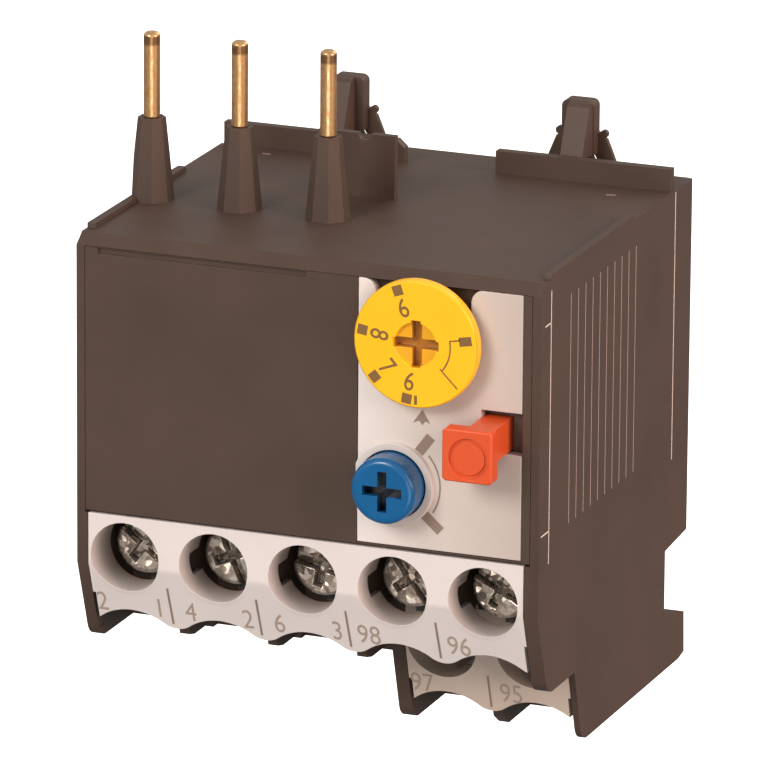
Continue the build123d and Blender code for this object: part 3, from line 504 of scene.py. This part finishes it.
def print_numbers(name, surface, entries, tall, finish, body, weight=0.0):
    """Plain numbers on a surface; entries are (text, across, height, turn in degrees)."""
    corners, faces = [], []
    for text, across, height, turn in entries:
        mesh = number_mesh(text, tall, weight)
        c, s = math.cos(math.radians(turn)), math.sin(math.radians(turn))
        start = len(corners)
        for corner in mesh.vertices:
            u, v = corner.co.x * DIGIT_WIDTH, corner.co.y
            corners.append((across + c * u - s * v, height + s * u + c * v, corner.co.z > 0))
        faces += [[start + i for i in face.vertices] for face in mesh.polygons]
        bpy.data.meshes.remove(mesh)
    return film(name, surface, corners, faces, finish, body)


# Two gate marks on the housing's top face, where the moulding was cut from its sprue. Their paler
# colour is a painted highlight for the glint they catch, and they are made like the printed marks.
class TopFace:
    """The top face of the housing; marks on it are given by distances from the left and front."""

    def point(self, from_left, from_front, rise):
        return place(from_left, from_front, rise)


gate_scar_highlight = ink("gate_scar_painted_highlight", "#8F7A6E")
gate_marks = [bar((40.1, 31.4), 0.9, 0.4, 8.0), bar((5.4, 32.5), 0.8, 0.35, -5.0)]
print_shapes("gate_marks", TopFace(), gate_marks, gate_scar_highlight, "root")

# Marks on the terminal covers: a separator between neighbours, the number of each terminal, and
# the number of each pole. The covers lean back below the knee, and the marks lean with them.
LOWER_FIRST = 32.1
LOWER_FRONT = 9.6
LOWER_DROP = 7.25
KNEE = -31.06
NUMBER_TALL = 1.95
NUMBER_LINE = -35.15
LOWER_NUMBER_LINE = -42.35
upper_face = Front(0.0, KNEE, 0.35)
lower_face = Front(LOWER_FRONT, KNEE - LOWER_DROP, 0.30)
separators = [bar((UPPER_FIRST + PITCH * (i + 0.5) - 0.35, -34.7), 3.8, 0.22, 91.5) for i in range(4)]
lower_separator = [bar((36.42, -42.3), 3.3, 0.22, 91.0)]
print_shapes("upper_separators", upper_face, separators, grey_ink, "root")
print_shapes("lower_separator", lower_face, lower_separator, grey_ink, "root")
upper_numbers = [
    (text, UPPER_FIRST + PITCH * i - 2.75, NUMBER_LINE, 0)
    for i, text in enumerate(("2", "4", "6", "98", "96"))]
upper_numbers += [(str(i + 1), UPPER_FIRST + PITCH * i + 2.9, NUMBER_LINE, 0) for i in range(3)]
print_numbers(
    "upper_terminal_numbers", upper_face, upper_numbers, NUMBER_TALL, number_ink, "root")
lower_numbers = [
    (text, LOWER_FIRST + PITCH * i - 2.3, LOWER_NUMBER_LINE, 0) for i, text in enumerate(("97", "95"))]
print_numbers(
    "lower_terminal_numbers", lower_face, lower_numbers, NUMBER_TALL, number_ink, "root")

# Marks on the setting panel: the arrow under the dial and the bars of the reset selector.
RESET = (31.06, -19.9)
DIAL = (33.77, -6.08)
panel_face = Front(0.0)
arrow = [(33.75, -12.67), (32.82, -14.0), (33.45, -13.75), (33.75, -14.15), (34.05, -13.75), (34.52, -13.95)]
panel_marks = [
    arrow,
    bar((33.94, -16.04), 2.2, 0.95, 53.6),
    bar((34.77, -23.19), 2.2, 0.95, -41.4),
    arc_band(RESET, 4.45, 0.16, -32.0, 42.0),
]
print_shapes("panel_marks", panel_face, panel_marks, grey_ink, "root")

# The setting dial: a bright yellow acetal moulding with a dished screwdriver slot, and its
# brown printed scale, which turns with it.
dial_yellow = moulded("acetal_yellow", "#F9BC12", "#F5B710", 0.38, 0.12, 0.004)
# Painted shade in the dial's dished slot: the yellow turns brown inside it, deeper towards its floor.
shade_recess(dial_yellow, DIAL, 2.6, -1.85, -1.2, "#9A5B22", 0.85)
dial_piece = softened("setting_dial", "dial_moulding", dial_yellow, 0.10)
DIAL_FACE = -2.0
dial_face = Front(DIAL_FACE)


def on_dial(radius, angle):
    """A point of the dial's face at this radius and angle, counter-clockwise from the right."""
    turn = math.radians(angle)
    return (DIAL[0] + radius * math.cos(turn), DIAL[1] + radius * math.sin(turn))


SCALE_ANGLES = (("6", -98.9), ("7", -139.0), ("8", 170.4), ("9", 109.7))
squares = [bar(on_dial(5.15, angle), 0.95, 0.95, angle) for _, angle in SCALE_ANGLES]
squares.append(bar(on_dial(4.85, 9.6), 1.2, 0.85, 9.6))
squares.append(bar(on_dial(5.15, -89.2), 0.85, 0.28, -89.2))
squares.append(arc_band(DIAL, 3.35, 0.14, -39.0, 12.0))
squares.append(bar(on_dial(3.85, 11.5), 1.0, 0.14, 11.5))
squares.append(bar(on_dial(4.3, -41.5), 2.4, 0.14, -45.0))
print_shapes("dial_marks", dial_face, squares, brown_ink, "dial")
digits = [(text, *on_dial(3.6, angle), angle + 90.0) for text, angle in SCALE_ANGLES]
print_numbers("dial_numbers", dial_face, digits, 1.75, brown_ink, "dial", 0.008)

# The two push buttons: blue and orange acetal, glossy where fingers polish them.
reset_blue = moulded("acetal_blue", "#045C94", "#03558A", 0.25, 0.2, 0.003)
# Painted shade in the reset button's cross recess: nearly black inside it.
shade_recess(reset_blue, RESET, 2.3, -2.9, -2.2, "#12161C", 0.95)
softened("reset_button", "reset_button_cap", reset_blue, 0.10)
test_orange = moulded("acetal_orange", "#CF5226", "#CA4D22", 0.36, 0.15, 0.004)
softened("test_button", "test_button_head", test_orange, 0.10)


# The metal parts: brass plug pins, drawn and slightly scratched along their length, and
# nickel-plated steel screws and clamps.
def metal(name, light, dark, roughness, streak_mm, stretch):
    """A bare or plated metal with fine streaks along Z and uneven gloss."""
    finish = bpy.data.materials.new(name)
    finish.use_nodes = True
    tree = finish.node_tree
    shader = tree.nodes["Principled BSDF"]
    spot = add_node(tree, "ShaderNodeTexCoord")
    pull = add_node(tree, "ShaderNodeMapping", {
        "Vector": spot.outputs["Object"], "Scale": (1.0, 1.0, stretch)})
    streaks = add_node(tree, "ShaderNodeTexNoise", {
        "Vector": pull.outputs["Vector"], "Scale": 1.0 / (streak_mm * MM), "Detail": 4.0, "Roughness": 0.7})
    shades = add_node(tree, "ShaderNodeValToRGB", {"Fac": streaks.outputs["Fac"]})
    shades.color_ramp.elements[0].position = 0.35
    shades.color_ramp.elements[0].color = linear(dark)
    shades.color_ramp.elements[1].position = 0.65
    shades.color_ramp.elements[1].color = linear(light)
    gloss = add_node(tree, "ShaderNodeMapRange", {
        "Value": streaks.outputs["Fac"], "From Min": 0.3, "From Max": 0.7,
        "To Min": roughness + 0.12, "To Max": roughness - 0.05})
    bump = add_node(tree, "ShaderNodeBump", {
        "Height": streaks.outputs["Fac"], "Distance": 0.01 * MM, "Strength": 0.8})
    tree.links.new(shades.outputs["Color"], shader.inputs["Base Color"])
    tree.links.new(gloss.outputs["Result"], shader.inputs["Roughness"])
    tree.links.new(bump.outputs["Normal"], shader.inputs["Normal"])
    shader.inputs["Metallic"].default_value = 1.0
    return finish


def paint_shade_band(finish, low_mm, high_mm, fade_mm, code, strength):
    """Paints shade into a metal in a band between two heights, with soft borders."""
    tree = finish.node_tree
    shader = tree.nodes["Principled BSDF"]
    plain = shader.inputs["Base Color"].links[0].from_socket
    spot = add_node(tree, "ShaderNodeTexCoord")
    axes = add_node(tree, "ShaderNodeSeparateXYZ", {"Vector": spot.outputs["Object"]})
    above = add_node(tree, "ShaderNodeMapRange", {
        "Value": axes.outputs["Z"], "From Min": (low_mm - fade_mm) * MM, "From Max": low_mm * MM,
        "To Min": 0.0, "To Max": strength})
    below = add_node(tree, "ShaderNodeMapRange", {
        "Value": axes.outputs["Z"], "From Min": high_mm * MM, "From Max": (high_mm + fade_mm) * MM,
        "To Min": 1.0, "To Max": 0.0})
    both = add_node(tree, "ShaderNodeMath", {
        0: above.outputs["Result"], 1: below.outputs["Result"]}, operation="MULTIPLY")
    mixed = add_node(tree, "ShaderNodeMixRGB", {
        "Fac": both.outputs["Value"], "Color1": plain, "Color2": linear(code)})
    tree.links.new(mixed.outputs["Color"], shader.inputs["Base Color"])


pin_brass = metal("drawn_brass", "#F1CA98", "#C69862", 0.32, 0.22, 0.3)
# Painted shade: a dark ring just below the pins' tips, where their chamfer turns away from the light.
paint_shade_band(pin_brass, 14.75, 15.35, 0.25, "#5A3A22", 0.7)
strip_brass = metal("stamped_brass", "#D2AC63", "#B08A48", 0.34, 0.3, 0.5)
nickel = metal("nickel_plated_steel", "#B7B2AC", "#7F7A74", 0.24, 0.5, 1.0)


def faceted(finish, cell_mm, tilt):
    """Tilts the normal by small cells, as the struck facets and burrs of a screw head do."""
    tree = finish.node_tree
    shader = tree.nodes["Principled BSDF"]
    smooth = shader.inputs["Normal"].links[0].from_socket
    spot = add_node(tree, "ShaderNodeTexCoord")
    cells = add_node(tree, "ShaderNodeTexVoronoi", {
        "Vector": spot.outputs["Object"], "Scale": 1.0 / (cell_mm * MM), "Randomness": 1.0})
    around_zero = add_node(tree, "ShaderNodeVectorMath", {
        0: cells.outputs["Color"], 1: (0.5, 0.5, 0.5)}, operation="SUBTRACT")
    lean = add_node(tree, "ShaderNodeVectorMath", {
        0: around_zero.outputs["Vector"], "Scale": tilt}, operation="SCALE")
    tipped = add_node(tree, "ShaderNodeVectorMath", {0: smooth, 1: lean.outputs["Vector"]}, operation="ADD")
    unit = add_node(tree, "ShaderNodeVectorMath", {0: tipped.outputs["Vector"]}, operation="NORMALIZE")
    tree.links.new(unit.outputs["Vector"], shader.inputs["Normal"])


def screw_metal(name, head_depth):
    """Nickel-plated screw steel whose drive recess behind the head's face is darkened with painted shade."""
    finish = metal(name, "#D8D0C6", "#A39A90", 0.2, 0.7, 1.0)
    finish.node_tree.nodes["Principled BSDF"].inputs["Metallic"].default_value = 0.7
    faceted(finish, 0.55, 0.6)
    # Painted shade: everything behind the head's face, in the drive recess, turns a darker grey.
    shade_recess(finish, (WIDTH / 2, -30.0), 60.0, head_depth + 0.25, head_depth + 0.8, "#8E857C")
    return finish


HEAD_DEPTH = 4.7
upper_screw = screw_metal("struck_nickel_screw", HEAD_DEPTH)
lower_screw = screw_metal("struck_nickel_lower_screw", LOWER_FRONT + HEAD_DEPTH)
for number in (1, 2, 3):
    softened(f"plug_pin_{number}", f"plug_pin_rod_{number}", pin_brass, 0.08)


def turn_left_by(centre, degrees):
    """A trim that turns a screw about its own axis, to where the screwdriver left it."""
    middle = place(centre[0], 0.0, centre[1])
    spin = Matrix.Rotation(math.radians(degrees), 4, "Y")
    turn = Matrix.Translation(middle) @ spin @ Matrix.Translation(-middle)
    return lambda shape: bmesh.ops.transform(shape, matrix=turn, verts=shape.verts)


LOWER_HEIGHT = WELL_HEIGHT - LOWER_DROP - 0.5
screw_places = [(UPPER_FIRST + PITCH * i, WELL_HEIGHT) for i in range(5)]
screw_places += [(LOWER_FIRST + PITCH * i, LOWER_HEIGHT) for i in range(2)]
left_at = (38.0, 66.0, 12.0, 52.0, 27.0, 71.0, 8.0)
for number, (centre, degrees) in enumerate(zip(screw_places, left_at), 1):
    screw_finish = upper_screw if number <= 5 else lower_screw
    softened(f"screw_{number}", f"terminal_screw_{number}", screw_finish, 0.12,
                     trim=turn_left_by(centre, degrees))
for number in range(1, 8):
    softened(f"clamp_{number}", f"terminal_clamp_{number}", nickel, 0.08)

# The rating label printed on the right side: a white frame line at the front and at the rear,
# two ticks, and ten ruled lines between them. A Geometry Nodes tree repeats the lines.
side_face = RightSide()
label_frame = [
    bar((2.6, -13.8), 25.6, 0.16, 90.0),
    bar((35.4, -13.1), 25.8, 0.16, 90.0),
    bar((1.85, -4.0), 1.5, 0.14, 0.0),
    bar((1.6, -23.5), 2.0, 0.14, 0.0),
]
print_shapes("label_frame", side_face, label_frame, white_ink, "root")


def ruled_tree():
    """A Geometry Nodes tree that sets boxes of one size in an even row."""
    tree = bpy.data.node_groups.new("ruled_lines", "GeometryNodeTree")
    inputs = {
        "Size": "NodeSocketVector", "Count": "NodeSocketInt", "Start": "NodeSocketVector",
        "Step": "NodeSocketVector", "Finish": "NodeSocketMaterial",
    }
    for socket, kind in inputs.items():
        tree.interface.new_socket(name=socket, in_out="INPUT", socket_type=kind)
    tree.interface.new_socket(name="Geometry", in_out="OUTPUT", socket_type="NodeSocketGeometry")
    given = add_node(tree, "NodeGroupInput")
    row = add_node(tree, "GeometryNodeMeshLine", {
        "Count": given.outputs["Count"], "Start Location": given.outputs["Start"],
        "Offset": given.outputs["Step"]}, mode="OFFSET")
    line = add_node(tree, "GeometryNodeMeshCube", {"Size": given.outputs["Size"]})
    lines = add_node(tree, "GeometryNodeInstanceOnPoints", {
        "Points": row.outputs["Mesh"], "Instance": line.outputs["Mesh"]})
    real = add_node(tree, "GeometryNodeRealizeInstances", {"Geometry": lines.outputs["Instances"]})
    coated = add_node(tree, "GeometryNodeSetMaterial", {
        "Geometry": real.outputs["Geometry"], "Material": given.outputs["Finish"]})
    add_node(tree, "NodeGroupOutput", {"Geometry": coated.outputs["Geometry"]})
    return tree


def even_row(name, tree, values, body):
    """Evaluates the row tree with these inputs and keeps the result as a plain mesh."""
    maker = bpy.data.objects.new(name + "_maker", bpy.data.meshes.new(name + "_start"))
    bpy.context.scene.collection.objects.link(maker)
    modifier = maker.modifiers.new("row", "NODES")
    modifier.node_group = tree
    for socket in tree.interface.items_tree:
        if socket.in_out == "INPUT":
            modifier[socket.identifier] = values[socket.name]
    graph = bpy.context.evaluated_depsgraph_get()
    mesh = bpy.data.meshes.new_from_object(maker.evaluated_get(graph))
    bpy.data.objects.remove(maker)
    piece = bpy.data.objects.new(name, mesh)
    bpy.context.scene.collection.objects.link(piece)
    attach(piece, body)
    return piece


RULE_COUNT = 10
RULE_PITCH = 1.9
RULE_LENGTH = 21.6
FIRST_RULE = 7.7
RULE_TOP = -2.6
rules = ruled_tree()
even_row("label_rules", rules, {
    "Size": Vector((0.010, 0.11, RULE_LENGTH)) * MM,
    "Count": RULE_COUNT,
    "Start": place(WIDTH + 0.007, FIRST_RULE, RULE_TOP - RULE_LENGTH / 2),
    "Step": Vector((0.0, RULE_PITCH, 0.0)) * MM,
    "Finish": rule_ink,
}, "root")

# Every other CAD piece keeps its own mesh and gets the finish of its real material.
ivory = moulded("natural_polyamide", "#D8D0C2", "#CFC7B8", 0.5, 0.15, 0.004)
sheet_steel = metal("rolled_bimetal_strip", "#A8A29A", "#8E877D", 0.36, 0.2, 0.1)
finish_of_slot = {
    "terminal_brass": strip_brass, "bimetal": sheet_steel, "heater_alloy": sheet_steel,
    "steel": nickel, "plated_steel": nickel, "inner_plastic": ivory,
}
for entry in frame["record"]["subparts"]:
    if entry["material_slot"] in finish_of_slot:
        mesh = frame["nodes"][entry["node"]].data
        mesh.materials.clear()
        mesh.materials.append(finish_of_slot[entry["material_slot"]])
